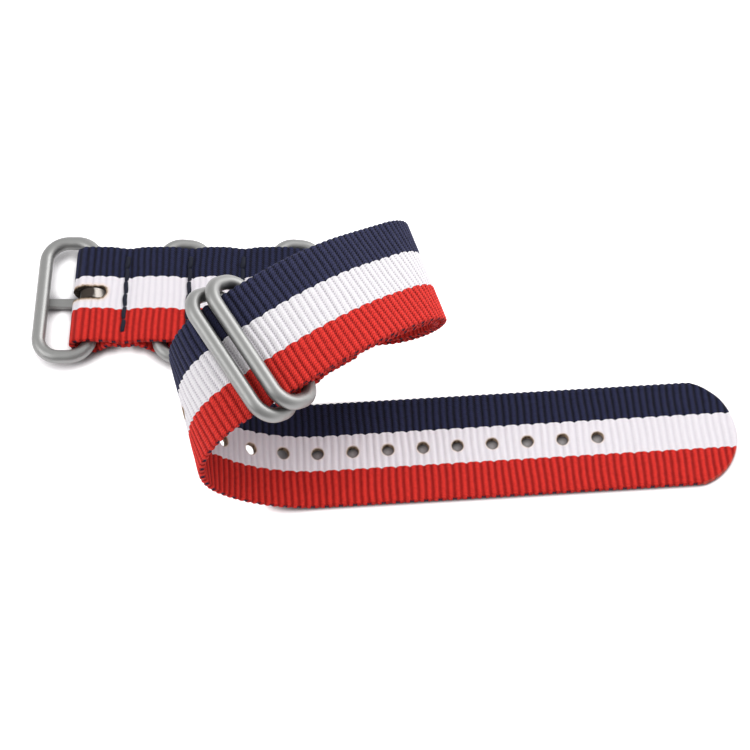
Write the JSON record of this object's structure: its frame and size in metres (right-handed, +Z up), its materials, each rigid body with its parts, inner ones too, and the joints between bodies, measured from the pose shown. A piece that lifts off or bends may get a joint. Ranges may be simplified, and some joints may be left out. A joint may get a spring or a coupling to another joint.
{
  "type": "pass-through watch strap",
  "caption": "Striped nylon webbing watch strap, folded for storage, with a wire buckle, tongue, keeper rings and end rings.",
  "frame": {"origin": "on the table under the middle of the whole folded strap", "axes": "+X to the right along the tail towards its tip, +Y away from the viewer, +Z up from the table"},
  "size_m": [0.138, 0.0608, 0.0383],
  "materials": {
    "webbing": "ribbed weave",
    "hardware": "satin",
    "thread": "matte"
  },
  "bodies": {
    "webbing": {"long_strap": "webbing", "under_strap": "webbing", "stitch_row_1": "thread", "stitch_row_2": "thread", "stitch_row_3": "thread", "stitch_row_4": "thread", "stitch_row_5": "thread"},
    "buckle": {"buckle_frame": "hardware"},
    "tongue": {"buckle_tongue": "hardware"},
    "keeper_1": {"keeper_ring_1": "hardware"},
    "keeper_2": {"keeper_ring_2": "hardware"},
    "end_1": {"end_ring_1": "hardware"},
    "end_2": {"end_ring_2": "hardware"}
  },
  "joints": [
    {"name": "buckle_swing", "type": "hinge", "parent": "webbing", "child": "buckle", "pos_m": [-0.0574, 0.0158, 0.00278], "axis": [0, 1, 0], "range_deg": [-25, 60]},
    {"name": "tongue_swing", "type": "hinge", "parent": "buckle", "child": "tongue", "pos_m": [-0.0574, 0.0158, 0.00278], "axis": [0, 1, 0], "range_deg": [-75, 0]},
    {"name": "keeper_1_swing", "type": "hinge", "parent": "webbing", "child": "keeper_1", "pos_m": [-0.0438, 0.0158, 0.00278], "axis": [0, 1, 0], "range_deg": [0, 155]},
    {"name": "keeper_2_swing", "type": "hinge", "parent": "webbing", "child": "keeper_2", "pos_m": [-0.0211, 0.0158, 0.00278], "axis": [0, 1, 0], "range_deg": [0, 155]},
    {"name": "end_ring_1_swing", "type": "hinge", "parent": "webbing", "child": "end_1", "pos_m": [-0.01872, -0.00843, 0.02982], "axis": [-0.5503, 0.8114, 0.1969], "range_deg": [0, 90]},
    {"name": "end_ring_2_swing", "type": "hinge", "parent": "webbing", "child": "end_2", "pos_m": [-0.02212, -0.01059, 0.02928], "axis": [-0.5503, 0.811, 0.1984], "range_deg": [0, 90]}
  ],
  "couplings": [
    {"joint": "end_ring_2_swing", "follows": "end_ring_1_swing", "ratio": 1}
  ]
}
